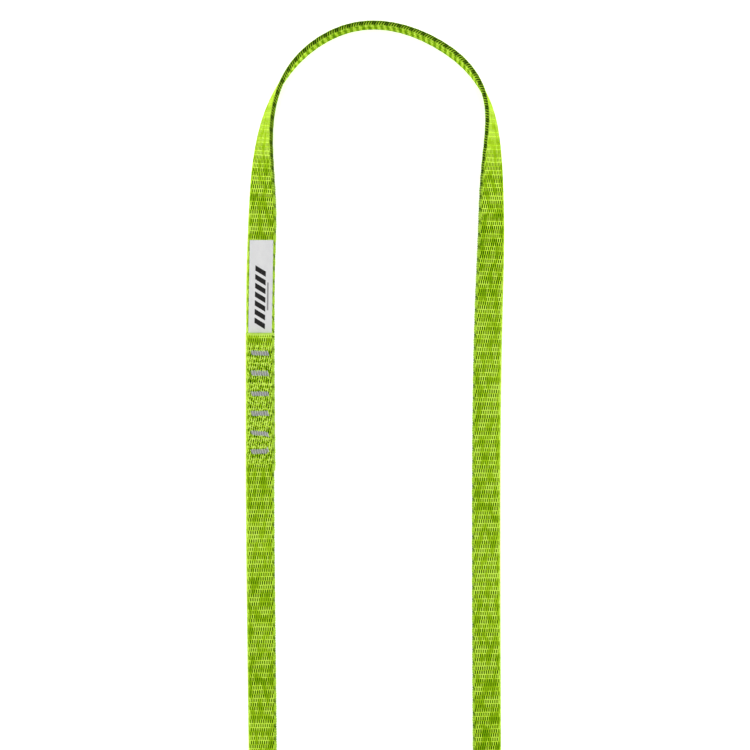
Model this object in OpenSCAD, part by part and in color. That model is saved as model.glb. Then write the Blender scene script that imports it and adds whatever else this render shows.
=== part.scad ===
// Flat web sling: one length of flat webbing, its two ends lapped and sewn with six bartacks into
// an endless loop, with a folded fabric label sewn into the end of the lap.
// The loop lies on a table. Its two legs lie flat, side by side along Y, and at each end the
// webbing turns up on its outer edge and stands as it goes round the eye.

/* [Webbing] */
// Width of the webbing
web_w = 16; // [14:0.5:16]
// Thickness of the webbing
web_t = 2.6; // [2:0.1:2.6]

/* [Label] */
// Width of the label
label_w = 13; // [8:0.5:13]
// Free length of the label, beyond the seam
label_l = 52; // [30:1:52]
// Thickness of the label, with its two leaves together
label_t = 0.5; // [0.3:0.1:0.5]
// Length of the label that is held in the seam
label_tail_l = 12; // [4:1:12]

/* [Bartacks] */
// Distance from one bartack to the next
tack_pitch = 11; // [10:0.5:11.5]
// Length of a bartack, across the webbing
tack_l = 10.2; // [6:0.2:11]
// Width of a bartack, along the webbing
tack_w = 2.4; // [1.6:0.2:3]
// Thickness of the sewing thread
thread_d = 0.5; // [0.3:0.1:0.6]
// Stitches that pass through the webbing along each side of a bartack
tack_stitches = 6; // [3:1:8]

/* [Hidden] */
// Route of the outer edge's foot, from the under end of the lap, up the left leg, round the top
// eye, down the right leg, round the bottom eye and up to the upper end of the lap.
// Each point is x, y, the height that the webbing is lifted, and its bank in degrees: 0 where it
// lies flat, 90 where it stands on its outer edge.
route = [
    [-71.5,     17,   0,  0], [  -72,     80,   0,  0], [  -72,    125,   0,  0],
    [  -71,    150,   0,  0], [  -70,    172,   0, 24], [-67.5,    194,   0, 49],
    [  -62,    216,   0, 71], [-50.5,  237.5,   0, 89], [  -34,    254,   0, 92],
    [  -12,  264.5,   0, 91], [   12,    264,   0, 90], [   34,  254.5,   0, 93],
    [ 52.5,    241,   0, 93], [   65,    222,   0, 82], [   70,    199,   0, 55],
    [ 71.5,    175,   0, 32], [ 72.5,    145,   0, 18], [   71,    100,   0,  5],
    [   70,     35,   0,  0], [   70,    -60,   0,  0], [ 70.5,   -145,   0,  4],
    [   70,   -171,   0, 25], [   67,   -195,   0, 50], [ 60.5,   -219,   0, 74],
    [   47,   -242,   0, 88], [ 25.5, -259.5,   0, 90], [    0, -266.5,   0, 90],
    [-25.5, -259.5,   0, 90], [  -47,   -242,   0, 88], [-60.5,   -219,   0, 74],
    [  -67,   -195,   0, 50], [  -70,   -171,   0, 25], [-70.5,   -145,   0,  4],
    [  -72,    -26,   0,  0], [  -72,     -8,   0,  0], [  -72,      8, 2.9,  0],
    [  -72,     36, 2.8,  0], [  -72,     66, 2.8,  0], [  -72,     80, 3.3,  0],
    [  -72,     93, 3.3,  0],
];
rings_per_span = 2;

// Upper end of the lap, and the middle line of the webbing there.
lap_end = route[len(route) - 1];
lap_centre_x = lap_end.x + web_w / 2;

// Heights of the upper layer's underside: along the lap, and where the label's tail lifts it.
lap_lift = 2.8;
tail_lift = lap_end[2];

// The label's tail lies on the lower layer, and its free part stands a little clear of it.
tail_gap = 0.05;
flap_gap = 0.9;
label_start = 0.4;

// Bartacks: the last one holds the label's tail.
tack_count = 6;
last_tack_from_end = 10.5;
bar_h = thread_d;
sunk = 0.1;
lock_z = (web_t + lap_lift) / 2;
stitch_d = 0.8 * thread_d;

// Rounding of the webbing's edges.
edge_bevel = web_t / 2;

web_colour = [0.56, 0.74, 0.13];
label_colour = [0.87, 0.87, 0.87];
thread_colour = [0.62, 0.64, 0.6];

// Outline of the webbing's cross-section: across from the outer edge, and through the thickness.
section = [
    [0, 0], [0.3 * edge_bevel, -0.6 * web_t / 2], [edge_bevel, -web_t / 2],
    [web_w - edge_bevel, -web_t / 2], [web_w - 0.3 * edge_bevel, -0.6 * web_t / 2], [web_w, 0],
    [web_w - 0.3 * edge_bevel, 0.6 * web_t / 2], [web_w - edge_bevel, web_t / 2],
    [edge_bevel, web_t / 2], [0.3 * edge_bevel, 0.6 * web_t / 2],
];

// Route point i. One step past either end it mirrors its neighbour, so the ends run straight.
function route_point(i) =
    i < 0 ? 2 * route[0] - route[1]
    : i >= len(route) ? 2 * route[len(route) - 1] - route[len(route) - 2]
    : route[i];

// A smooth curve (cubic B-spline) drawn by the route points; t goes from 0 at point i to 1 at the
// next.
function on_route(i, t) =
    let (a = route_point(i - 1), b = route_point(i), c = route_point(i + 1), d = route_point(i + 2))
    (pow(1 - t, 3) * a + (3 * t * t * t - 6 * t * t + 4) * b
        + (-3 * t * t * t + 3 * t * t + 3 * t + 1) * c + t * t * t * d) / 6;

// Horizontal direction of travel at the same place.
function heading(i, t) =
    let (step = 0.01, v = on_route(i, t + step) - on_route(i, t - step))
    [v.x, v.y] / norm([v.x, v.y]);

// The cross-section's points, placed in the loop at that station.
function ring(i, t) =
    let (
        p = on_route(i, t),
        h = heading(i, t),
        lift = p[2],
        bank = p[3],
        across = [h.y * cos(bank), -h.x * cos(bank), sin(bank)],
        out = [-h.y * sin(bank), h.x * sin(bank), cos(bank)],
        foot = [p.x, p.y, lift + web_t / 2 * abs(cos(bank))]
    )
    [for (s = section) foot + s[0] * across + s[1] * out];

// A closed tube through rings that all have the same number of points.
module skin(rings) {
    n = len(rings[0]);
    last = len(rings) - 1;
    sides = [
        for (r = [0 : last - 1], s = [0 : n - 1])
            let (here = r * n + s, beside = r * n + (s + 1) % n)
            each [[here, beside, beside + n], [here, beside + n, here + n]]
    ];
    start_cap = [for (s = [n - 1 : -1 : 0]) s];
    end_cap = [for (s = [0 : n - 1]) last * n + s];
    polyhedron(points = [for (r = rings) each r], faces = concat(sides, [start_cap, end_cap]));
}

// The one length of webbing, from cut end to cut end.
module webbing() {
    rings = [
        for (i = [0 : len(route) - 2], j = [0 : rings_per_span - 1]) ring(i, j / rings_per_span),
        ring(len(route) - 2, 1),
    ];
    color(web_colour) skin(rings);
}

// The label's fabric, a flat double leaf that starts at y and runs along the webbing.
module label_leaf(y, length, z) {
    translate([lap_centre_x - label_w / 2, y, z]) cube([label_w, length, label_t]);
}

// The part of the label between the two layers of webbing.
module label_tail() {
    color(label_colour) label_leaf(lap_end.y - label_tail_l, label_tail_l, web_t + tail_gap);
}

// The free part of the label, which folds over the end of the lap.
module label_flap() {
    color(label_colour) label_leaf(lap_end.y + label_start, label_l, web_t + flap_gap);
}

// A bar with round ends, across the webbing.
module bar(length, width, height) {
    linear_extrude(height) {
        square([length - width, width], center = true);
        for (side = [-1, 1]) translate([side * (length - width) / 2, 0]) circle(d = width, $fn = 24);
    }
}

// Two rows of stitches, from the height low to the height high.
module stitches(low, high) {
    spread = tack_l - tack_w;
    for (row = [-1, 1], i = [0 : tack_stitches - 1])
        translate([spread * (i / (tack_stitches - 1) - 0.5), row * (tack_w / 2 - stitch_d), low])
            cylinder(d = stitch_d, h = high - low, $fn = 16);
}

// Puts its children at bartack i, counted from the under end of the lap.
module at_tack(i) {
    y = lap_end.y - last_tack_from_end - (tack_count - i) * tack_pitch;
    translate([lap_centre_x, y, 0]) children();
}

// The needle thread of bartack i: the bar on the upper face, and its stitches down to the lock.
module needle_thread(i) {
    top = web_t + (i == tack_count ? tail_lift : lap_lift);
    color(thread_colour) at_tack(i) {
        translate([0, 0, top - bar_h / 2]) bar(tack_l, tack_w, bar_h);
        stitches(lock_z, top);
    }
}

// The bobbin thread of bartack i: the bar sunk in the underside, and its stitches up to the lock.
module bobbin_thread(i) {
    color(thread_colour) at_tack(i) {
        translate([0, 0, sunk]) bar(tack_l, tack_w, bar_h);
        stitches(sunk, lock_z);
    }
}

webbing();
label_tail();
label_flap();
needle_thread(1);  // bartack_1_needle_thread
needle_thread(2);  // bartack_2_needle_thread
needle_thread(3);  // bartack_3_needle_thread
needle_thread(4);  // bartack_4_needle_thread
needle_thread(5);  // bartack_5_needle_thread
needle_thread(6);  // bartack_6_needle_thread
bobbin_thread(1);  // bartack_1_bobbin_thread
bobbin_thread(2);  // bartack_2_bobbin_thread
bobbin_thread(3);  // bartack_3_bobbin_thread
bobbin_thread(4);  // bartack_4_bobbin_thread
bobbin_thread(5);  // bartack_5_bobbin_thread
bobbin_thread(6);  // bartack_6_bobbin_thread
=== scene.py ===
"""Looks of the flat web sling: woven webbing, its sewn lap and its folded label, in metres."""
import math

import bpy
import numpy as np
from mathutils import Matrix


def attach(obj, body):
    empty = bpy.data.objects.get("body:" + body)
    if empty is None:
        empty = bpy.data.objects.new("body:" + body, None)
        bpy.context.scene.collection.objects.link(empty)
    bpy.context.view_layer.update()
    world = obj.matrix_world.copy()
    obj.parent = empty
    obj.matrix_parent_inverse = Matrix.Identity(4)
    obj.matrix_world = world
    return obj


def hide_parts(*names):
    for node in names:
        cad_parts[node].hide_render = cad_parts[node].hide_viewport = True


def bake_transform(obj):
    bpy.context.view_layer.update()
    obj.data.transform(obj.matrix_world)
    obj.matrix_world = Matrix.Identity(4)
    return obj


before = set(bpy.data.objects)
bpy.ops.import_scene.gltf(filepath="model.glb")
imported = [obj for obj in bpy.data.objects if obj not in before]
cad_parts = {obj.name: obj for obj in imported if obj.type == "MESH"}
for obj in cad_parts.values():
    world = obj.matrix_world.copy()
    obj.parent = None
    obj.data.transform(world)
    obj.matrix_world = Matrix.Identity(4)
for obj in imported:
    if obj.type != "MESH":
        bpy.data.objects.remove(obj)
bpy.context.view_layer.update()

MM = 0.001

# The webbing, its weave and its sealed ends.
WEB_W = 16 * MM
WEB_T = 2.6 * MM
YARN_W = 0.413 * MM
YARNS = 34
PICK = 2.336 * MM
SAMPLES_PER_PICK = 2
TWILL = 3
REPEAT = TWILL * PICK
CROWN = 0.05 * MM
VALLEY = 0.07 * MM
DIP = 0.24 * MM
EDGE_R = WEB_T / 2
FACE_START = (WEB_W - YARNS * YARN_W) / 2
STROKE_PITCH = REPEAT / 5
STROKE_SLOPE = 0.5
SEAL = 1.6 * MM

# The lap and its bartacks, counted from the under end.
LAP_START = 0.017
LAP_END = 0.093
LAP_X = -0.064
TACKS = 6
TACK_PITCH = 11 * MM
LAST_TACK_Y = LAP_END - 10.5 * MM
TACK_L = 10.2 * MM
TACK_W = 2.4 * MM
THREAD_R = 0.26 * MM
LOCK_Z = 2.7 * MM
DIMPLE = 0.3 * MM
ROUGH = 0.07 * MM
SEAL_THINNING = 0.25 * MM

# The hollow that a bartack pulls in the cloth: how far it goes past the bar's ends, how it fades
# there, and how wide it is along the webbing.
DIMPLE_REACH = 1.5 * MM
DIMPLE_FADE = 2 * MM
DIMPLE_W = 1.9 * MM

# The cloth is a little darker round the bottom eye: the station of the middle, how far on either
# side of it the cloth is darkest, and how far off the change has faded out.
DARKER_AT = 0.9
DARKEST_WITHIN = 0.16
DARKER_WITHIN = 0.33

# The sealed end's rings: how far each reaches past the cut, in mm, and its size.
CUT_END_RINGS = ((-1.2, 0.86), (-0.3, 0.9), (0.1, 0.84), (0.35, 0.6), (0.42, 0.1))

# The zigzag: its strokes are in turn proud and sunken, with ranges for a stroke's length as a share
# of the bar's width, and for its height in mm.
STROKES = 14
PROUD_SIZE = (0.98, 1.16)
PROUD_TOP = (0.2, 0.26)
SUNKEN_SIZE = (0.78, 0.92)
SUNKEN_TOP = (0.06, 0.12)
# Painted shade on the sunken strokes: how light they are kept.
SUNKEN_SHADE = 0.65

# The threads under the zigzag: their rows across the bar, points in each, depth and waviness.
UNDERLAY_ROWS = (-0.5, 0, 0.5)
UNDERLAY_POINTS = 12
UNDERLAY_DEPTH = 0.14
UNDERLAY_WAVE = 0.02

# One stroke of the zigzag: place across the bar in half widths, step along it in strokes, and
# height in mm against the stroke's own.
STROKE_SHAPE = (
    (1.0, -0.6, -0.45), (1.03, -0.6, -0.12), (0.6, -0.3, 0.05), (0.0, 0.0, 0.08), (-0.6, 0.3, 0.05),
    (-1.03, 0.6, -0.12), (-1.0, 0.6, -0.45),
)

# Each bartack: how far it is sewn from its place, in mm; its slope; the curl at its right end, in
# mm; and how wide its zigzag is.
TACK_LOOKS = [
    (0.0, 0.02, 1.4, 1.0),
    (-0.9, -0.09, -0.5, 1.0),
    (-0.8, 0.01, 0.0, 1.05),
    (-0.9, 0.0, 0.0, 1.0),
    (-0.5, -0.02, 0.0, 1.12),
    (-0.3, -0.03, 0.0, 1.0),
]

# The bartack that ends in a short cut end of thread, coloured dark all through as painted shade.
LOOSE_END = 4

# The label: a ribbon folded at its far end, both tails sewn into the lap.
LABEL_W = 13 * MM
LABEL_TAIL_Y = 0.081
LABEL_FOLD_Y = 0.1448
RIBBON_T = 0.17 * MM
RIBBON_GAP = 0.12 * MM
LABEL_HELD_Z = 2.92 * MM
LABEL_FREE_Z = 3.3 * MM
LABEL_RISE = 0.35 * MM
LABEL_DRIFT = 0.017
LABEL_CROWN = 0.12 * MM

# A place along the label that is far from its print.
BLANK = -100 * MM

# Colours from 0 to 255, as they look on a screen.
SHADED_CLOTH = (90, 144, 0)
LIT_CLOTH = (210, 254, 34)
# Painted highlight of the cloth's floats and banked parts.
PAINTED_HIGHLIGHT_CLOTH = (220, 255, 104)
# Painted highlight along the edges.
PAINTED_RIM_HIGHLIGHT = (232, 250, 160)
# Painted shade in the weave's gaps.
PAINTED_GAP_SHADE = (2, 46, 0)
PRINT_BLACK = (29, 28, 28)

# The label's print, in mm: slanting bars beside a thin rule.
BAR_COUNT = 7
BAR_PITCH = 4.85
BAR_SLANT = 0.6
BARS_FROM = 7.9
BARS_ACROSS = (3.3, 9.2)
RULE_ACROSS = (10.0, 10.9)
RULE_ALONG = (13.0, 28.5)

# Camera and lights.
CAMERA_PLACE = (0.0, 0.070, 1.120)
CAMERA_LENS = 96.3
LIT_POINT = (0, 0.05, 0)
SIDE_LIGHT_SIZE = (1.8, 0.2)
SIDE_LIGHT_POWER = 8
TOP_LIGHT_SIZE = (1.8, 1.8)
TOP_LIGHT_POWER = 22
ROOM_LIGHT = 0.4

# The floor gives a little light of its own, so that it stays white beside the sling.
FLOOR_GLOW = 0.52

# Floor: its reach and height in metres, from the table top to the top of the backdrop.
FLOOR_SIDES = 128
FLOOR_PROFILE = [(0, 0), (1, 0), (8, 0), (8.8, 0.1), (9.5, 0.5), (9.9, 1.2), (10, 2.5)]

# Route of the outer edge's foot: x, y, the height that the webbing is lifted, and its bank in
# degrees, 0 where it lies flat and 90 where it stands on its outer edge.
ROUTE = [
    (-0.0715, 0.017, 0, 0), (-0.072, 0.08, 0, 0), (-0.072, 0.125, 0, 0), (-0.071, 0.15, 0, 0),
    (-0.07, 0.172, 0, 24), (-0.0675, 0.194, 0, 49), (-0.062, 0.216, 0, 71), (-0.0505, 0.2375, 0, 89),
    (-0.034, 0.254, 0, 92), (-0.012, 0.2645, 0, 91), (0.012, 0.264, 0, 90), (0.034, 0.2545, 0, 93),
    (0.0525, 0.241, 0, 93), (0.065, 0.222, 0, 82), (0.07, 0.199, 0, 55), (0.0715, 0.175, 0, 32),
    (0.0725, 0.145, 0, 18), (0.071, 0.1, 0, 5), (0.07, 0.035, 0, 0), (0.07, -0.06, 0, 0),
    (0.0705, -0.145, 0, 4), (0.07, -0.171, 0, 25), (0.067, -0.195, 0, 50), (0.0605, -0.219, 0, 74),
    (0.047, -0.242, 0, 88), (0.0255, -0.2595, 0, 90), (0, -0.2665, 0, 90), (-0.0255, -0.2595, 0, 90),
    (-0.047, -0.242, 0, 88), (-0.0605, -0.219, 0, 74), (-0.067, -0.195, 0, 50), (-0.07, -0.171, 0, 25),
    (-0.0705, -0.145, 0, 4), (-0.072, -0.026, 0, 0), (-0.072, -0.008, 0, 0), (-0.072, 0.008, 0.0029, 0),
    (-0.072, 0.036, 0.0028, 0), (-0.072, 0.066, 0.0028, 0), (-0.072, 0.08, 0.0033, 0),
    (-0.072, 0.093, 0.0033, 0),
]


# ---------------------------------------------------------------- the webbing's path


def spline(points, per_span):
    """The smooth curve (cubic B-spline) that the route points draw, ends mirrored to run straight."""
    p = np.array(points, float)
    p = np.vstack([2 * p[0] - p[1], p, 2 * p[-1] - p[-2]])
    t = np.arange(per_span)[:, None] / per_span
    weights = ((1 - t) ** 3, 3 * t**3 - 6 * t**2 + 4, -3 * t**3 + 3 * t**2 + 3 * t + 1, t**3)
    spans = [
        sum(w * p[i + k] for k, w in enumerate(weights)) / 6 for i in range(len(p) - 3)
    ]
    return np.vstack(spans + [p[-2]])


class Strip:
    """Stations along the webbing's middle line, and the place of any point of its section."""

    def __init__(self, route):
        curve = spline(route, 60)
        heading = np.gradient(curve[:, :2], axis=0)
        heading /= np.linalg.norm(heading, axis=1)[:, None]
        self.columns = np.hstack([curve, heading])
        self.along = np.arange(len(curve), dtype=float)
        middle = self.point(self.along, WEB_W / 2, 0)
        steps = np.linalg.norm(np.diff(middle, axis=0), axis=1)
        self.along = np.concatenate([[0], np.cumsum(steps)])
        self.length = self.along[-1]

    def point(self, s, u, v):
        """The point at station s, u across from the outer edge and v out from the middle plane."""
        s, u, v = np.broadcast_arrays(np.asarray(s, float), u, v)
        x, y, lift, bank, hx, hy = (
            np.interp(s, self.along, column) for column in self.columns.T
        )
        size = np.hypot(hx, hy)
        hx, hy = hx / size, hy / size
        c, sn = np.cos(np.radians(bank)), np.sin(np.radians(bank))
        foot_z = lift + WEB_T / 2 * np.abs(c)
        return np.stack(
            [
                x + u * hy * c - v * hy * sn,
                y - u * hx * c + v * hx * sn,
                foot_z + u * sn + v * c,
            ],
            axis=-1,
        )

    def bank(self, s):
        """The bank at station s, in degrees."""
        return np.interp(s, self.along, self.columns[:, 3])


# ---------------------------------------------------------------- meshes


def mesh_object(name, points, faces, material):
    """A smooth-shaded mesh object from points and faces of four corners."""
    faces = np.asarray(faces)
    mesh = bpy.data.meshes.new(name)
    mesh.vertices.add(len(points))
    mesh.vertices.foreach_set("co", np.asarray(points, np.float32).ravel())
    mesh.loops.add(faces.size)
    mesh.loops.foreach_set("vertex_index", faces.ravel().astype(np.int32))
    mesh.polygons.add(len(faces))
    mesh.polygons.foreach_set("loop_start", np.arange(0, faces.size, 4, dtype=np.int32))
    mesh.polygons.foreach_set("use_smooth", np.ones(len(faces), bool))
    mesh.update(calc_edges=True)
    mesh.materials.append(material)
    obj = bpy.data.objects.new(name, mesh)
    bpy.context.scene.collection.objects.link(obj)
    return obj


def grid_faces(rows, columns, around=False):
    """Faces of a grid of points; around joins the last column to the first."""
    c = np.arange(columns if around else columns - 1)
    r = np.arange(rows - 1)[:, None] * columns
    n = (c + 1) % columns
    faces = np.stack([r + c, r + n, r + n + columns, r + c + columns], axis=-1)
    return faces.reshape(-1, 4)


def set_uv(obj, uv):
    """The uv map "weave", in millimetres: across, then along."""
    corner = np.empty(len(obj.data.loops), np.int32)
    obj.data.loops.foreach_get("vertex_index", corner)
    layer = obj.data.uv_layers.new(name="weave")
    layer.data.foreach_set("uv", (uv[corner] / MM).astype(np.float32).ravel())


def set_attribute(obj, name, values):
    """A number at each point of the mesh, for the material."""
    layer = obj.data.attributes.new(name, "FLOAT", "POINT")
    layer.data.foreach_set("value", np.asarray(values, np.float32).ravel())


def grid_object(name, points, uv, material, flip=False):
    """A mesh from a rows x columns grid of points, with its uv. The table keeps it above 0."""
    rows, columns = points.shape[:2]
    points[..., 2] = np.maximum(points[..., 2], 0)
    faces = grid_faces(rows, columns)
    if flip:
        faces = faces[:, ::-1]
    obj = mesh_object(name, points.reshape(-1, 3), faces, material)
    set_uv(obj, uv.reshape(-1, 2))
    return obj


def tube(path, radius, sides=8):
    """Points and faces of a round tube along a path, drawn in almost to a point at its ends."""
    path = np.asarray(path, float)
    tangent = np.gradient(path, axis=0)
    tangent /= np.linalg.norm(tangent, axis=1)[:, None]
    side = np.cross(tangent, [0.31, 0.12, 0.94])
    side /= np.linalg.norm(side, axis=1)[:, None]
    up = np.cross(side, tangent)
    angle = np.linspace(0, 2 * math.pi, sides, endpoint=False)
    ring = np.cos(angle)[None, :, None] * side[:, None] + np.sin(angle)[None, :, None] * up[:, None]
    radii = np.full(len(path), radius)
    radii[[0, -1]] = radius * 0.05
    points = path[:, None] + ring * radii[:, None, None]
    return points.reshape(-1, 3), grid_faces(len(path), sides, around=True)


def joined(parts):
    """Several (points, faces) as one."""
    points, faces, start = [], [], 0
    for p, f in parts:
        points.append(p)
        faces.append(f + start)
        start += len(p)
    return np.vstack(points), np.vstack(faces)


# ---------------------------------------------------------------- the weave's relief


def smooth_step(x, low, high):
    """0 up to low and 1 from high on, with a smooth rise between."""
    t = np.clip((x - low) / (high - low), 0, 1)
    return t * t * (3 - 2 * t)


def tack_y(i):
    """Where bartack i crosses the lap, with the drift of the sewing."""
    return LAST_TACK_Y - (TACKS - 1 - i) * TACK_PITCH + TACK_LOOKS[i][0] * MM


def dimples(x, y):
    """How far the bartacks pull the cloth in, at points over the lap."""
    across = smooth_step(TACK_L / 2 + DIMPLE_REACH - np.abs(x - LAP_X), 0, DIMPLE_FADE)
    pull = sum(np.exp(-(((y - tack_y(i)) / DIMPLE_W) ** 2)) for i in range(TACKS))
    return DIMPLE * across * pull


def lap_weight(s, y, upper):
    """1 where the cloth is part of the lap, 0 elsewhere."""
    near_end = s > strip.length / 2 if upper else s < strip.length / 2
    inside = smooth_step(y, LAP_START, LAP_START + 6 * MM) * smooth_step(LAP_END - y, 3 * MM, 9 * MM)
    return near_end * inside


def seal_weight(s):
    """1 at the heat-sealed cut ends, fading along the strip."""
    from_end = np.minimum(s, strip.length - s)
    return 1 - smooth_step(from_end, 0.2 * SEAL, SEAL)


def edge_profile(u):
    """Half thickness of the plain section at u from the outer edge."""
    inward = np.clip(EDGE_R - np.minimum(u, WEB_W - u), 0, EDGE_R)
    return np.sqrt(EDGE_R**2 - inward**2)


def twill_relief(yarn_step, row):
    """Height of a twill face: yarn crowns, the valleys between, and a dip where a yarn goes under."""
    pick, phase = np.divmod(row, SAMPLES_PER_PICK)
    on_crown = yarn_step % 2 == 1
    yarn = yarn_step // 2
    under_here = (yarn - pick) % TWILL == 0
    under_before = (yarn - 1 - pick) % TWILL == 0
    dips = np.where(on_crown, under_here * 1.0, 0.3 * (under_here | under_before))
    flat = np.where(on_crown, CROWN, -VALLEY)
    return np.where(phase == 1, flat - DIP * dips, flat)


def face(name, side, material):
    """One woven face of the webbing, side 1 the outer face and -1 the inner."""
    picks = int(round(strip.length / PICK))
    row = np.arange(picks * SAMPLES_PER_PICK + 1)[:, None]
    yarn_step = np.arange(2 * YARNS + 1)[None, :]
    s = row * strip.length / row[-1]
    u = FACE_START + yarn_step * YARN_W / 2
    s, u = np.broadcast_arrays(s, u)
    middle = strip.point(s, u, 0)
    lap = lap_weight(s, middle[..., 1], side > 0)
    seal = seal_weight(s)
    relief = twill_relief(yarn_step, row) * (1 - 0.8 * seal)
    rough = rng.normal(0, ROUGH, s.shape) * lap
    pull = dimples(middle[..., 0], middle[..., 1]) * (lap > 0)
    bank = strip.bank(s)
    # By bank: where the webbing stands on edge, the gap dashes fade and the cloth is painted lighter, a
    # painted highlight. At a slight bank it is painted darker, a painted shade.
    gaps = 1 + 0.45 * smooth_step(bank, 5, 23) - 0.95 * smooth_step(bank, 32, 62)
    v = side * (edge_profile(u) - SEAL_THINNING * seal + relief + rough - pull)
    weave = np.stack([u, s * picks * PICK / strip.length], -1)
    obj = grid_object(name, strip.point(s, u, v), weave, material, side > 0)
    set_attribute(obj, "lap", lap)
    set_attribute(obj, "seal", seal)
    set_attribute(obj, "gaps", gaps if side > 0 else np.ones(s.shape))
    set_attribute(obj, "inner", np.full(s.shape, float(side < 0)))
    # The hollows' depth, which the material also turns into painted shade.
    set_attribute(obj, "pull", pull / DIMPLE)
    return obj


def plain_selvedge(name, material):
    """The lower, outer edge: warp yarns that wrap round it."""
    rows = int(strip.length / PICK * 3)
    s = np.linspace(0, strip.length, rows)[:, None]
    angle = np.radians(np.linspace(-82, 82, 9))[None, :]
    s, angle = np.broadcast_arrays(s, angle)
    wave = 0.02 * MM * np.cos(2 * math.pi * s / PICK) - 0.2 * MM * seal_weight(s)
    yarn = 0.03 * MM * np.cos(4 * angle * 2)
    r = EDGE_R - 0.02 * MM + wave + yarn
    u = EDGE_R - r * np.cos(angle)
    points = strip.point(s, u, r * np.sin(angle))
    uv = np.stack([FACE_START - EDGE_R * (math.pi / 2 - np.abs(angle)), s], -1)
    obj = grid_object(name, points, uv, material)
    set_attribute(obj, "lap", np.zeros(s.shape))
    set_attribute(obj, "seal", seal_weight(s))
    # The low value leaves few gap dashes and lightens the edge's tone; the pull of 0.5 darkens it again
    # a little, with no hollow there.
    set_attribute(obj, "gaps", np.full(s.shape, 0.2))
    set_attribute(obj, "inner", np.zeros(s.shape))
    set_attribute(obj, "pull", np.full(s.shape, 0.5))
    return obj


def knitted_selvedge(name, material):
    """The upper, inner edge: loops of the weft locked with a thread, as slanting ridges."""
    rows = int(strip.length / STROKE_PITCH * 6)
    s = np.linspace(0, strip.length, rows)[:, None]
    angle = np.radians(np.linspace(-84, 84, 11))[None, :]
    s, angle = np.broadcast_arrays(s, angle)
    v = EDGE_R * np.sin(angle)
    lean = STROKE_SLOPE * MM * np.sin(1.3 * v / MM)
    stroke = np.cos(2 * math.pi * (s - lean) / STROKE_PITCH)
    scallop = np.cos(2 * math.pi * s / REPEAT)
    bulge = np.cos(angle) ** 0.5
    r = EDGE_R + bulge * (0.13 * MM * stroke - 0.12 * MM * scallop) - 0.2 * MM * seal_weight(s)
    u = WEB_W - EDGE_R + r * np.cos(angle)
    points = strip.point(s, u, r * np.sin(angle))
    uv = np.stack([v, s], -1)
    obj = grid_object(name, points, uv, material, flip=True)
    set_attribute(obj, "seal", seal_weight(s))
    set_attribute(obj, "standing", smooth_step(strip.bank(s), 15, 50))
    return obj


def cut_end(name, at_start, material):
    """The rounded, heat-sealed bead that closes a cut end."""
    angle = np.linspace(0, 2 * math.pi, 40, endpoint=False)
    half_w, half_t = WEB_W / 2 - EDGE_R, EDGE_R
    u = WEB_W / 2 + half_w * np.clip(np.cos(angle) * 1.6, -1, 1) + half_t * np.cos(angle)
    v = half_t * np.sign(np.sin(angle)) * np.abs(np.sin(angle)) ** 0.35
    end = 0 if at_start else strip.length
    outward = -1 if at_start else 1
    rings = []
    for reach, size in CUT_END_RINGS:
        ring = strip.point(end, WEB_W / 2 + (u - WEB_W / 2) * (0.97 + 0.03 * size), v * size)
        ring[:, 1] += outward * reach * MM
        lump = 0.06 * MM * np.sin(7 * angle + 3 * size) * (reach > -1)
        ring[:, 1] += outward * lump
        rings.append(ring)
    points = np.vstack(rings)
    faces = grid_faces(len(rings), len(angle), around=True)
    if not at_start:
        faces = faces[:, ::-1]
    return mesh_object(name, points, faces, material)


# ---------------------------------------------------------------- bartacks


def tack_stroke(i, k, surface_z, over, look):
    """One zigzag of bartack i: up the cloth's face, slanting across the bar, and back below it."""
    _, slope, curl, size = look
    begin = ((k + 0.5) / STROKES - 0.5) * (TACK_L - 2 * THREAD_R)
    proud = k % 2
    size *= rng.uniform(*(PROUD_SIZE if proud else SUNKEN_SIZE))
    jog = rng.uniform(-0.05, 0.05) * MM
    curl_up = curl * MM * max(0, begin / TACK_L * 2 - 0.6) * 2.5
    middle_y = tack_y(i) + slope * begin + curl_up
    half = TACK_W / 2 * size
    top = rng.uniform(*(PROUD_TOP if proud else SUNKEN_TOP))
    line = []
    for across, step, lift in STROKE_SHAPE:
        x = LAP_X + begin + step * TACK_L / STROKES + jog
        z = surface_z + over * (top + lift) * MM
        line.append((x, middle_y + across * half, z if over > 0 else max(z, THREAD_R)))
    return line


def underlay(i, surface_z, over, slope):
    """The straight threads under the zigzag of bartack i, as tubes, coloured fully dark as painted
    shade.
    """
    tubes = []
    for row in UNDERLAY_ROWS:
        xs = np.linspace(-TACK_L / 2, TACK_L / 2, UNDERLAY_POINTS)
        ys = tack_y(i) + row * TACK_W / 2 + slope * xs
        wave = UNDERLAY_WAVE * np.cos(np.arange(UNDERLAY_POINTS) * 2.0)
        zs = surface_z - over * (UNDERLAY_DEPTH + wave) * MM
        line = np.c_[LAP_X + xs, ys, zs if over > 0 else np.maximum(zs, THREAD_R)]
        tubes.append(tube(line, THREAD_R))
    return tubes


def loose_end(i, top):
    """A short cut end of thread that hangs from the left end of bartack i, coloured fully dark as
    painted shade.
    """
    x, y = LAP_X - TACK_L / 2, tack_y(i) - TACK_W / 2
    path = [(x, y, top), (x - 0.1 * MM, y - 0.5 * MM, top), (x, y - MM, top - 0.2 * MM)]
    return tube(path, THREAD_R)


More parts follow.
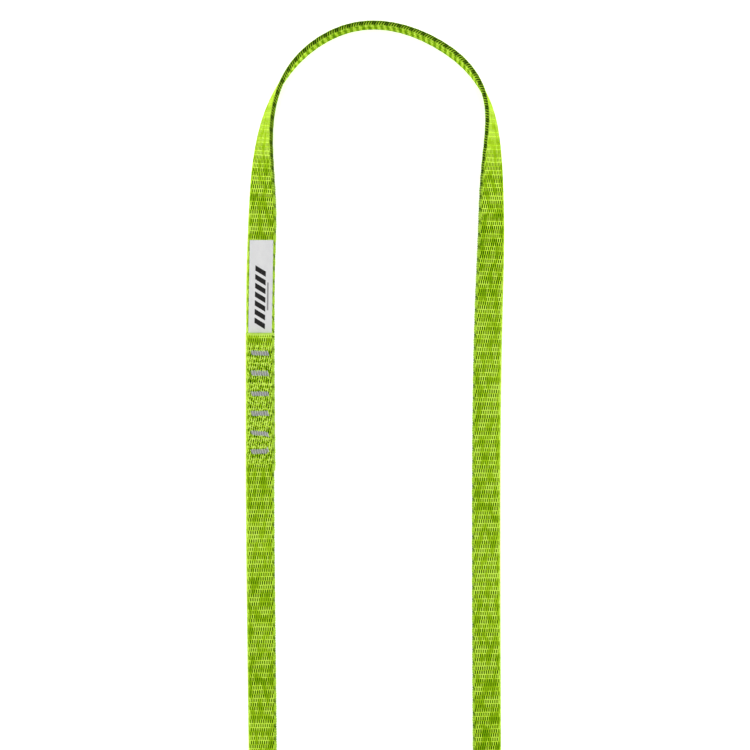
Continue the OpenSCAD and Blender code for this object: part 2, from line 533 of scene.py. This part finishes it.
def bartack(name, i, over, material):
    """One thread of a bartack, over 1 for the needle's on top and -1 for the bobbin's below."""
    top = strip.point(s_at_lap(tack_y(i)), WEB_W / 2, WEB_T / 2)[2]
    surface_z = top - DIMPLE if over > 0 else DIMPLE
    look = TACK_LOOKS[i] if over > 0 else (0, 0, 0, 0.95)
    strokes = [tack_stroke(i, k, surface_z, over, look) for k in range(STROKES)]
    lit = [tube(stroke, THREAD_R) for stroke in strokes]
    dark = underlay(i, surface_z, over, look[1])
    if over > 0 and i == LOOSE_END:
        dark.append(loose_end(i, top))
    dark.append(tube([(LAP_X, tack_y(i), surface_z), (LAP_X, tack_y(i), LOCK_Z)], THREAD_R))
    # Painted shade: proud strokes keep their colour, sunken ones are partly dark, the rest fully dark.
    shades = [
        np.full(len(points), 1.0 if k % 2 else SUNKEN_SHADE) for k, (points, _) in enumerate(lit)
    ]
    shades += [np.zeros(len(points)) for points, _ in dark]
    points, faces = joined(lit + dark)
    obj = mesh_object(name, points, faces, material)
    set_attribute(obj, "shade", np.concatenate(shades))
    return obj


def s_at_lap(y):
    """The station of the upper layer at height y of the lap."""
    return strip.length - (LAP_END - y)


# ---------------------------------------------------------------- label


def label_height(y):
    """Height of the label's middle: held between the layers, then down on the lower one."""
    free = LABEL_FREE_Z + LABEL_RISE * smooth_step(y, 0.125, LABEL_FOLD_Y)
    return LABEL_HELD_Z + (free - LABEL_HELD_Z) * smooth_step(y, LAP_END, LAP_END + 5 * MM)


def label_lean(y):
    """Sideways drift of the free part, which follows the webbing."""
    return LABEL_DRIFT * np.clip(y - LAP_END, 0, None)


def label(name, material):
    """The ribbon as one closed solid, folded back on itself at its far end."""
    ys = np.concatenate([np.linspace(LABEL_TAIL_Y, 0.1, 24), np.linspace(0.101, LABEL_FOLD_Y, 46)])
    half = (RIBBON_T + RIBBON_GAP) / 2
    turn = np.radians(np.linspace(-75, 75, 7))
    fold_y = LABEL_FOLD_Y + half * np.cos(turn) * 1.4
    fold_z = half * np.sin(turn)
    line_y = np.concatenate([ys, fold_y, ys[::-1]])
    offset = np.concatenate([np.full(len(ys), -half), fold_z, np.full(len(ys), half)])
    middle_z = label_height(line_y)
    line = np.stack([line_y, middle_z + offset], -1)
    tangent = np.gradient(line, axis=0)
    tangent /= np.linalg.norm(tangent, axis=1)[:, None]
    normal = np.stack([tangent[:, 1], -tangent[:, 0]], -1)

    across = np.linspace(-0.5, 0.5, 27)
    rings, uv = [], []
    for side in (1, -1):
        xs = across if side > 0 else across[::-1]
        crown = LABEL_CROWN * np.cos(math.pi * xs)[None, :]
        crown = crown * smooth_step(line_y, 0.098, 0.11)[:, None]
        thin = np.where(np.abs(xs) > 0.499, 0.7, 1.0)[None, :]
        y = line[:, 0, None] + side * RIBBON_T / 2 * normal[:, 0, None] * thin
        z = line[:, 1, None] + side * RIBBON_T / 2 * normal[:, 1, None] * thin + crown
        x = LAP_X + xs[None, :] * LABEL_W + label_lean(line_y)[:, None]
        x, y, z = np.broadcast_arrays(x, y, z)
        rings.append(np.stack([x, y, z], -1))
        printed = (offset > 0) & (side > 0)
        along = np.where(printed, line_y - LAP_END, BLANK)
        uv.append(np.stack(np.broadcast_arrays((xs[None, :] + 0.5) * LABEL_W, along[:, None]), -1))
    points = np.concatenate(rings, axis=1)
    rows, columns = points.shape[:2]
    faces = grid_faces(rows, columns, around=True)
    caps = []
    for r, turned in ((0, False), (rows - 1, True)):
        for c in range(len(across) - 1):
            upper, lower = r * columns + c, r * columns + columns - 1 - c
            quad = [upper, upper + 1, lower - 1, lower]
            caps.append(quad[::-1] if turned else quad)
    faces = np.vstack([faces[:, ::-1], np.array(caps)[:, ::-1]])
    obj = mesh_object(name, points.reshape(-1, 3), faces, material)
    set_uv(obj, np.concatenate(uv, axis=1).reshape(-1, 2))
    return obj


# ---------------------------------------------------------------- materials


class Graph:
    """A material's node tree, with short calls for the nodes that it needs."""

    def __init__(self, name, roughness, **settings):
        self.material = bpy.data.materials.new(name)
        self.material.use_nodes = True
        self.tree = self.material.node_tree
        self.shader = self.tree.nodes["Principled BSDF"]
        self.shader.inputs["Roughness"].default_value = roughness
        for socket, value in settings.items():
            self.shader.inputs[socket.replace("_", " ")].default_value = value

    def node(self, kind, **properties):
        made = self.tree.nodes.new(kind)
        for name, value in properties.items():
            setattr(made, name, value)
        return made

    def feed(self, socket, value):
        if isinstance(value, bpy.types.NodeSocket):
            self.tree.links.new(value, socket)
        else:
            socket.default_value = value

    def math(self, operation, *values):
        made = self.node("ShaderNodeMath", operation=operation)
        for socket, value in zip(made.inputs, values):
            self.feed(socket, value)
        return made.outputs[0]

    def step(self, value, low, high, to_low=0.0, to_high=1.0):
        """A smooth step from to_low to to_high."""
        made = self.node("ShaderNodeMapRange", interpolation_type="SMOOTHSTEP")
        for socket, given in zip(made.inputs, (value, low, high, to_low, to_high)):
            self.feed(socket, given)
        return made.outputs[0]

    def mix(self, amount, first, second):
        made = self.node("ShaderNodeMix", data_type="RGBA")
        self.feed(made.inputs[0], amount)
        self.feed(made.inputs[6], first)
        self.feed(made.inputs[7], second)
        return made.outputs[2]

    def uv(self):
        """Millimetres across and along, from the mesh's uv map."""
        split = self.node("ShaderNodeSeparateXYZ")
        self.feed(split.inputs[0], self.node("ShaderNodeUVMap", uv_map="weave").outputs[0])
        return split.outputs[0], split.outputs[1]

    def attribute(self, name):
        return self.node("ShaderNodeAttribute", attribute_name=name).outputs["Fac"]

    def vector(self, x, y, z=0.0):
        made = self.node("ShaderNodeCombineXYZ")
        for socket, value in zip(made.inputs, (x, y, z)):
            self.feed(socket, value)
        return made.outputs[0]

    def noise(self, x, y, z=0.0, detail=2.0):
        made = self.node("ShaderNodeTexNoise")
        made.inputs["Scale"].default_value = 1.0
        made.inputs["Detail"].default_value = detail
        self.feed(made.inputs["Vector"], self.vector(x, y, z))
        return made.outputs["Fac"]

    def chance(self, x, y):
        """A random number for each whole-numbered cell."""
        made = self.node("ShaderNodeTexWhiteNoise", noise_dimensions="2D")
        self.feed(made.inputs["Vector"], self.vector(x, y))
        return made.outputs["Value"]

    def finish(self, colour, height, depth, strength=1.0):
        self.feed(self.shader.inputs["Base Color"], colour)
        bump = self.node("ShaderNodeBump")
        bump.inputs["Strength"].default_value = strength
        bump.inputs["Distance"].default_value = depth
        self.feed(bump.inputs["Height"], height)
        self.feed(self.shader.inputs["Normal"], bump.outputs[0])
        return self.material


def linear(red, green, blue):
    """A colour given from 0 to 255 as it looks on a screen."""
    channels = [c / 255 for c in (red, green, blue)]
    return tuple(c / 12.92 if c <= 0.04045 else ((c + 0.055) / 1.055) ** 2.4 for c in channels) + (1,)


def woven_place(g, u, s, lap):
    """A point's place counted in yarns across and picks along, disturbed where it is sewn."""
    yarn = g.math("DIVIDE", g.math("SUBTRACT", u, FACE_START / MM), YARN_W / MM)
    pick = g.math("DIVIDE", s, PICK / MM)
    wander = g.math("SUBTRACT", g.noise(g.math("MULTIPLY", u, 0.8), g.math("MULTIPLY", s, 0.8)), 0.5)
    sway = g.noise(g.math("MULTIPLY", u, 0.2), g.math("MULTIPLY", s, 0.12), 7.0)
    sway = g.math("SUBTRACT", sway, 0.5)
    yarn = g.math("ADD", yarn, g.math("MULTIPLY", wander, g.math("MULTIPLY", lap, 3.4)))
    pick = g.math("ADD", pick, g.math("MULTIPLY", wander, g.math("MULTIPLY", lap, 1.8)))
    return yarn, g.math("ADD", pick, g.math("MULTIPLY", sway, 0.25))


class WeaveCell:
    """Where a point lies within its yarn, its row and the twill's repeat."""

    def __init__(self, g, yarn, pick):
        self.yarn = yarn
        self.row = g.math("FLOOR", pick)
        self.across = g.math("ABSOLUTE", g.math("SUBTRACT", g.math("FRACT", yarn), 0.5))
        self.along = g.math("ABSOLUTE", g.math("SUBTRACT", g.math("FRACT", pick), 0.5))
        turn = g.math("ADD", g.math("SUBTRACT", yarn, self.row), 1.0)
        turn = g.math("FLOORED_MODULO", turn, float(TWILL))
        self.from_under = g.math("ABSOLUTE", g.math("SUBTRACT", turn, TWILL / 2))
        third = g.math("FLOORED_MODULO", self.row, float(TWILL))
        self.weak = g.math("LESS_THAN", third, 0.5)
        tall = g.math("SUBTRACT", 0.48, g.math("MULTIPLY", self.weak, 0.1))
        self.lens_y = g.math("POWER", g.math("DIVIDE", self.along, tall), 2.0)


def slow_drift(g, u, s):
    """Slow changes of tone along the strap, darker round the bottom eye."""
    drift = g.noise(g.math("MULTIPLY", u, 0.05), g.math("MULTIPLY", s, 0.028), 21.0, 1.0)
    drift = g.math("MULTIPLY", g.math("SUBTRACT", drift, 0.5), 0.6)
    away = g.math("ABSOLUTE", g.math("SUBTRACT", s, DARKER_AT / MM))
    darker = g.step(away, DARKER_WITHIN / MM, DARKEST_WITHIN / MM, 0.0, 0.15)
    return g.math("SUBTRACT", drift, darker)


def painted_gap_shade_dashes(g, cell, patch, u):
    """Painted shade: dark pointed dashes in the gaps where a yarn goes under a pick, weaker in one row
    of three and uneven from place to place.
    """
    lens_x = g.math("POWER", g.math("DIVIDE", cell.from_under, 0.74), 2.0)
    dash = g.step(g.math("ADD", lens_x, cell.lens_y), 1.15, 0.45)
    group = g.math("DIVIDE", g.math("SUBTRACT", cell.yarn, cell.row), float(TWILL))
    chance = g.chance(g.math("FLOOR", group), cell.row)
    dash = g.math("MULTIPLY", dash, g.math("ADD", 0.68, g.math("MULTIPLY", patch, 0.32)))
    weakened = g.math("SUBTRACT", 1.0, g.math("MULTIPLY", cell.weak, 0.25))
    dash = g.math("MULTIPLY", dash, weakened)
    dash = g.math("MULTIPLY", dash, g.step(chance, 0.0, 1.0, 0.72, 1.0))
    dash = g.math("MULTIPLY", dash, g.attribute("gaps"))
    dash = g.math("MULTIPLY", dash, g.math("SUBTRACT", 1.0, g.attribute("seal")))
    return g.math("MULTIPLY", dash, g.step(u, 1.4, 2.1))


def painted_float_highlights(g, cell, patch, band):
    """Painted highlights: bright floats between the gaps, and a bright line between the rows that
    follows the band.
    """
    float_x = g.math("DIVIDE", g.math("SUBTRACT", TWILL / 2, cell.from_under), 0.75)
    float_x = g.math("POWER", float_x, 2.0)
    shine = g.step(g.math("ADD", float_x, g.math("MULTIPLY", cell.lens_y, 0.4)), 1.2, 0.2)
    line = g.step(cell.along, 0.32, 0.5)
    line = g.math("MULTIPLY", line, g.math("ADD", 0.85, g.math("MULTIPLY", band, 0.4)))
    line = g.math("MULTIPLY", line, g.step(g.attribute("gaps"), 0.0, 1.0, 0.2, 1.0))
    unevenness = g.math("ADD", 0.4, g.math("MULTIPLY", patch, 0.75))
    return g.math("MULTIPLY", g.math("MAXIMUM", shine, line), unevenness)


def inner_ribs_and_painted_shade(g, u, pick, streak, inner):
    """The inner face's slightly slanting ribs, two to each repeat of the twill, over a painted shade
    that darkens the whole inner face.
    """
    ridge = g.math("ADD", pick, g.math("MULTIPLY", u, 0.03))
    ridge = g.math("COSINE", g.math("MULTIPLY", ridge, 4 * math.pi / TWILL))
    ridge = g.math("MULTIPLY", ridge, g.step(streak, 0.35, 0.6, 0.25, 0.55))
    return g.math("MULTIPLY", g.math("SUBTRACT", ridge, 0.2), inner)


def webbing_material():
    """Neon polyester twill, with painted highlights on its long floats and painted shade in the gaps
    where a yarn goes under a pick.
    """
    g = Graph("neon_polyester_twill", 0.55, Specular_IOR_Level=0.01)
    u, s = g.uv()
    lap, seal, gaps = g.attribute("lap"), g.attribute("seal"), g.attribute("gaps")
    inner, pull = g.attribute("inner"), g.attribute("pull")
    yarn, pick = woven_place(g, u, s, lap)
    cell = WeaveCell(g, yarn, pick)
    band = g.math("MULTIPLY", g.math("SUBTRACT", pick, 0.5), 2 * math.pi / TWILL)
    band = g.math("MULTIPLY", g.math("COSINE", band), g.math("SUBTRACT", 1.0, inner))
    patch = g.noise(g.math("MULTIPLY", u, 0.35), g.math("MULTIPLY", s, 0.11), 3.0)
    patch = g.math("MAXIMUM", g.step(patch, 0.38, 0.58), lap)
    streak = g.noise(g.math("MULTIPLY", u, 16.0), g.math("MULTIPLY", s, 1.1), 0.0, 3.0)
    blotch = g.noise(g.math("MULTIPLY", u, 0.55), g.math("MULTIPLY", s, 0.55), 11.0)
    blotch = g.math("MULTIPLY", g.step(blotch, 0.35, 0.65, -0.6, 0.6), lap)

    fibres = g.math("MULTIPLY", g.math("SUBTRACT", streak, 0.5), 0.5)
    tone = g.math("ADD", g.math("MULTIPLY", painted_float_highlights(g, cell, patch, band), 0.9), fibres)
    tone = g.math("ADD", g.math("ADD", tone, blotch), g.math("MULTIPLY", seal, 0.7))
    tone = g.math("ADD", tone, g.math("ADD", g.math("MULTIPLY", band, 0.08), slow_drift(g, u, s)))
    # Painted light by bank: lighter where the webbing stands on edge, darker where it is slightly
    # banked.
    tone = g.math("ADD", tone, g.math("MULTIPLY", g.math("SUBTRACT", 1.0, gaps), 0.45))
    # Painted shade in the hollows that the bartacks pull in the cloth.
    tone = g.math("SUBTRACT", tone, g.math("MULTIPLY", pull, 0.5))
    # Painted shade along the sides of each yarn, towards the valleys between yarns.
    tone = g.math("SUBTRACT", tone, g.step(cell.across, 0.25, 0.5, -0.08, 0.3))
    # Painted shade over the inner face, which looks into the loop, with its ribs.
    tone = g.math("ADD", tone, inner_ribs_and_painted_shade(g, u, pick, streak, inner))

    body = g.mix(g.step(tone, -0.4, 1.0), linear(*SHADED_CLOTH), linear(*LIT_CLOTH))
    # Painted highlight: the brightest tone turns paler and bluer.
    body = g.mix(g.step(tone, 0.3, 1.2), body, linear(*PAINTED_HIGHLIGHT_CLOTH))
    # Painted highlight on the outermost part of the plain edge.
    body = g.mix(g.step(u, 0.5, -0.4, 0.0, 0.5), body, linear(*PAINTED_RIM_HIGHLIGHT))
    # Painted shade: dark dashes in the weave's gaps.
    colour = g.mix(painted_gap_shade_dashes(g, cell, patch, u), body, linear(*PAINTED_GAP_SHADE))
    height = g.math("MULTIPLY", streak, 0.5)
    height = g.math("SUBTRACT", height, g.math("MULTIPLY", cell.across, 0.8))
    return g.finish(colour, height, 0.12 * MM)


def selvedge_material():
    """The knitted edge: darker green, with light slanting thread strokes and darker spots."""
    g = Graph("knitted_selvedge", 0.55, Specular_IOR_Level=0.01)
    v, s = g.uv()
    fuzz = g.noise(g.math("MULTIPLY", v, 3.0), g.math("MULTIPLY", s, 3.0), 0.0, 4.0)
    lean = g.math("MULTIPLY", g.math("SINE", g.math("MULTIPLY", v, 1.3)), STROKE_SLOPE)
    stroke = g.math("DIVIDE", g.math("SUBTRACT", s, lean), STROKE_PITCH / MM)
    stroke = g.math("ADD", stroke, g.math("MULTIPLY", g.math("SUBTRACT", fuzz, 0.5), 0.3))
    stroke = g.math("MULTIPLY", g.math("COSINE", g.math("MULTIPLY", stroke, 2 * math.pi)), 0.5)
    stroke = g.math("ADD", stroke, 0.5)
    place = g.math("FRACT", g.math("DIVIDE", s, REPEAT / MM))
    spot = g.step(g.math("ABSOLUTE", g.math("SUBTRACT", place, 0.5)), 0.2, 0.5)
    clear = g.math("SUBTRACT", 1.0, g.math("MULTIPLY", spot, 0.75))
    light = g.math("MULTIPLY", g.step(stroke, 0.25, 0.9), clear)
    light = g.math("MULTIPLY", light, g.step(fuzz, 0.3, 0.65, 0.7, 1.0))
    light = g.math("MULTIPLY", light, g.step(v, -0.4, 0.4, 1.0, 0.65))
    colour = g.mix(light, linear(24, 54, 0), linear(172, 218, 50))

    # Beside the faces the loops are lighter; where the webbing lies flat, more of the edge is
    # lightened, a painted highlight.
    lying = g.math("SUBTRACT", 1.0, g.attribute("standing"))
    near_face = g.math("ADD", g.math("ABSOLUTE", v), g.math("MULTIPLY", lying, 0.6))
    near_face = g.step(near_face, 0.9, 1.25)
    near_face = g.math("MULTIPLY", near_face, g.math("SUBTRACT", 1.0, g.math("MULTIPLY", spot, 0.4)))
    worn = g.step(g.noise(0.0, g.math("MULTIPLY", s, 0.09), 5.0), 0.4, 0.62, 0.1, 0.5)
    loops = g.math("ADD", 0.6, g.math("MULTIPLY", g.math("SUBTRACT", light, 0.6), worn))
    loops = g.math("SUBTRACT", loops, g.math("MULTIPLY", spot, 0.2))
    colour = g.mix(near_face, colour, g.mix(loops, linear(64, 108, 2), linear(204, 250, 74)))
    # Painted highlight along the edge where the webbing lies flat.
    rim = g.math("MULTIPLY", g.step(g.math("ABSOLUTE", v), 0.9, 0.2, 0.0, 0.4), lying)
    rim = g.math("MULTIPLY", rim, g.math("SUBTRACT", 1.0, spot))
    colour = g.mix(rim, colour, linear(*PAINTED_RIM_HIGHLIGHT))
    colour = g.mix(g.attribute("seal"), colour, linear(150, 190, 50))
    return g.finish(colour, g.math("ADD", stroke, g.math("MULTIPLY", fuzz, 0.4)), 0.1 * MM)


def sealed_material():
    """Polyester melted by the hot knife: darker, glossy and lumpy."""
    g = Graph("heat_sealed_end", 0.38, Specular_IOR_Level=0.5)
    place = g.node("ShaderNodeTexCoord").outputs["Object"]
    lumps = g.node("ShaderNodeTexNoise")
    lumps.inputs["Scale"].default_value = 900.0
    g.feed(lumps.inputs["Vector"], place)
    colour = g.mix(lumps.outputs["Fac"], linear(146, 192, 36), linear(206, 246, 84))
    return g.finish(colour, lumps.outputs["Fac"], 0.1 * MM)


def thread_material():
    """Grey bonded polyester thread, darkened by painted shade where its "shade" attribute is low."""
    g = Graph("grey_bonded_thread", 0.5, Specular_IOR_Level=0.25)
    place = g.node("ShaderNodeTexCoord").outputs["Object"]
    fibre = g.node("ShaderNodeTexNoise")
    fibre.inputs["Scale"].default_value = 2600.0
    fibre.inputs["Detail"].default_value = 3.0
    g.feed(fibre.inputs["Vector"], place)
    colour = g.mix(fibre.outputs["Fac"], linear(170, 171, 172), linear(226, 227, 227))
    # Painted shade on the sunken strokes, the underlay, the lock and the loose end.
    colour = g.mix(g.attribute("shade"), linear(30, 38, 18), colour)
    return g.finish(colour, fibre.outputs["Fac"], 0.06 * MM)


def label_material():
    """White woven ribbon with a plain printed block of slanting bars and a thin grey rule."""
    g = Graph("printed_ribbon", 0.5, Specular_IOR_Level=0.15)
    x, y = g.uv()
    pitch = 0.32

    def ridges(value):
        turn = g.math("MULTIPLY", value, 2 * math.pi / pitch)
        return g.math("ADD", g.math("MULTIPLY", g.math("COSINE", turn), 0.5), 0.5)

    def inside(value, low, high, soft=0.06):
        rise = g.step(value, low - soft, low + soft)
        fall = g.step(value, high - soft, high + soft, 1.0, 0.0)
        return g.math("MULTIPLY", rise, fall)

    weave = g.math("MAXIMUM", ridges(x), ridges(y))
    cloud = g.noise(g.math("MULTIPLY", x, 0.25), g.math("MULTIPLY", y, 0.15))
    white = g.mix(g.step(weave, 0.2, 1.0), linear(218, 218, 218), linear(235, 235, 235))
    white = g.mix(g.step(cloud, 0.3, 0.7, 0.0, 0.35), white, linear(212, 212, 215))
    slant = g.math("ADD", y, g.math("MULTIPLY", x, BAR_SLANT))
    slant = g.math("DIVIDE", g.math("SUBTRACT", slant, BARS_FROM), BAR_PITCH)
    one_bar = inside(g.math("FRACT", slant), 0.02, 0.64, 0.012)
    bars = g.math("MULTIPLY", one_bar, inside(slant, 0.0, float(BAR_COUNT), 0.01))
    bars = g.math("MULTIPLY", bars, inside(x, *BARS_ACROSS))
    rule = g.math("MULTIPLY", inside(x, *RULE_ACROSS), inside(y, *RULE_ALONG))
    rule = g.math("MULTIPLY", rule, 0.6)
    colour = g.mix(g.math("MAXIMUM", bars, rule), white, linear(*PRINT_BLACK))
    return g.finish(colour, weave, 0.04 * MM)


def floor_material():
    """Smooth white table paper."""
    g = Graph("white_table", 0.85, Specular_IOR_Level=0.15, Emission_Strength=FLOOR_GLOW)
    g.shader.inputs["Emission Color"].default_value = (1, 1, 1, 1)
    place = g.node("ShaderNodeTexCoord").outputs["Object"]
    grain = g.node("ShaderNodeTexNoise")
    grain.inputs["Scale"].default_value = 300.0
    g.feed(grain.inputs["Vector"], place)
    colour = g.mix(grain.outputs["Fac"], (0.93, 0.93, 0.93, 1), (0.95, 0.95, 0.95, 1))
    return g.finish(colour, grain.outputs["Fac"], 0.02 * MM, 0.3)


# ---------------------------------------------------------------- camera, lights and floor


def add_camera():
    """Straight above the upper half of the loop, as a product shot."""
    data = bpy.data.cameras.new("camera")
    data.sensor_width = 36.0
    data.lens = CAMERA_LENS
    data.clip_start = 0.05
    camera = bpy.data.objects.new("camera", data)
    camera.location = CAMERA_PLACE
    bpy.context.scene.collection.objects.link(camera)
    bpy.context.scene.camera = camera


def add_light(name, place, size, power):
    """A softbox that faces the lit point."""
    data = bpy.data.lights.new(name, "AREA")
    data.shape = "RECTANGLE"
    data.size, data.size_y = size
    data.energy = power
    light = bpy.data.objects.new(name, data)
    light.location = place
    direction = np.array(LIT_POINT) - np.array(place)
    yaw = math.atan2(-direction[0], direction[1])
    tilt = math.atan2(math.hypot(direction[0], direction[1]), -direction[2])
    light.rotation_euler = (tilt, 0, yaw)
    bpy.context.scene.collection.objects.link(light)


def add_lights():
    """A low softbox on each side, a large one above, and an even white room."""
    add_light("left_softbox", (-1.4, 0.05, 0.14), SIDE_LIGHT_SIZE, SIDE_LIGHT_POWER)
    add_light("right_softbox", (1.4, 0.05, 0.14), SIDE_LIGHT_SIZE, SIDE_LIGHT_POWER)
    add_light("top_softbox", (0, 0.2, 2.0), TOP_LIGHT_SIZE, TOP_LIGHT_POWER)
    world = bpy.data.worlds.new("studio")
    world.use_nodes = True
    world.node_tree.nodes["Background"].inputs[0].default_value = (1, 1, 1, 1)
    world.node_tree.nodes["Background"].inputs[1].default_value = ROOM_LIGHT
    bpy.context.scene.world = world


def add_floor():
    """A wide white table top, whose far rim curves up into a backdrop."""
    turn = np.linspace(0, 2 * math.pi, FLOOR_SIDES, endpoint=False)
    circle = np.stack([np.cos(turn), np.sin(turn), np.zeros(FLOOR_SIDES)], -1)
    points = np.vstack([reach * circle + (0, 0, height) for reach, height in FLOOR_PROFILE])
    faces = grid_faces(len(FLOOR_PROFILE), FLOOR_SIDES, around=True)
    floor = mesh_object("floor", points, faces, floor_material())
    floor.location.z = -0.05 * MM


# ---------------------------------------------------------------- the sling


def settle(piece, slot, *nodes):
    """Lets a finished piece ride on the sling, in the place of these CAD nodes."""
    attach(piece, "sling")
    if nodes:
        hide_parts(*nodes)


rng = np.random.default_rng(16)
strip = Strip(ROUTE)
add_camera()

twill = webbing_material()
webbing = face("webbing_outer_face", 1, twill)
settle(webbing, "webbing", "webbing")
with_webbing = [
    face("webbing_inner_face", -1, twill),
    plain_selvedge("webbing_plain_selvedge", twill),
    knitted_selvedge("webbing_knitted_selvedge", selvedge_material()),
]
sealed = sealed_material()
with_webbing.append(cut_end("webbing_under_end", True, sealed))
with_webbing.append(cut_end("webbing_upper_end", False, sealed))
for piece in with_webbing:
    settle(piece, "webbing")

grey_thread = thread_material()
for i in range(TACKS):
    for thread, over in (("needle_thread", 1), ("bobbin_thread", -1)):
        name = f"bartack_{i + 1}_{thread}"
        stitches = bartack(f"stitched_{name}", i, over, grey_thread)
        settle(stitches, "thread", name)
        with_webbing.append(stitches)

ribbon = label("label", label_material())
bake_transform(ribbon)
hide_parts("label_tail", "label_flap")
with_webbing.append(ribbon)

middle_line = strip.point(np.linspace(0, strip.length, 400), WEB_W / 2, 0)

add_lights()
add_floor()
bpy.context.scene.view_settings.view_transform = "Standard"
